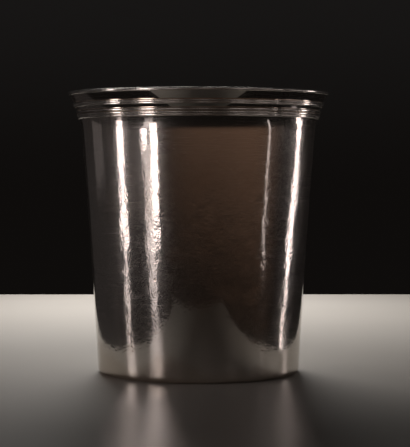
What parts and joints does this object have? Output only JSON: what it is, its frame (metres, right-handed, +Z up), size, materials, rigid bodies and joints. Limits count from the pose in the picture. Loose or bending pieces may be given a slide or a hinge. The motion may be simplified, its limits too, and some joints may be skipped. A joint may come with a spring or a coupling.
{
  "type": "silver timbale",
  "caption": "Plain tapering drinking beaker of polished silver with a flared lip, fine reeds round the neck and a let-in base on a turned-in standing ring.",
  "frame": {"origin": "middle of the standing ring, on the table", "axes": "+Z up along the cup's axis; the soldered side seam is at the back, towards +Y"},
  "size_m": [0.074, 0.074, 0.08],
  "materials": {
    "silver": "polished silver, lightly worn and scuffed",
    "solder": "silver solder, a little greyer than the sheet"
  },
  "bodies": {
    "root": {"body_wall": "silver", "side_seam": "solder", "base_disc": "silver", "base_solder": "solder", "lip_wire": "silver", "upper_reed_wire": "silver", "lower_reed_wire": "silver"}
  },
  "joints": []
}
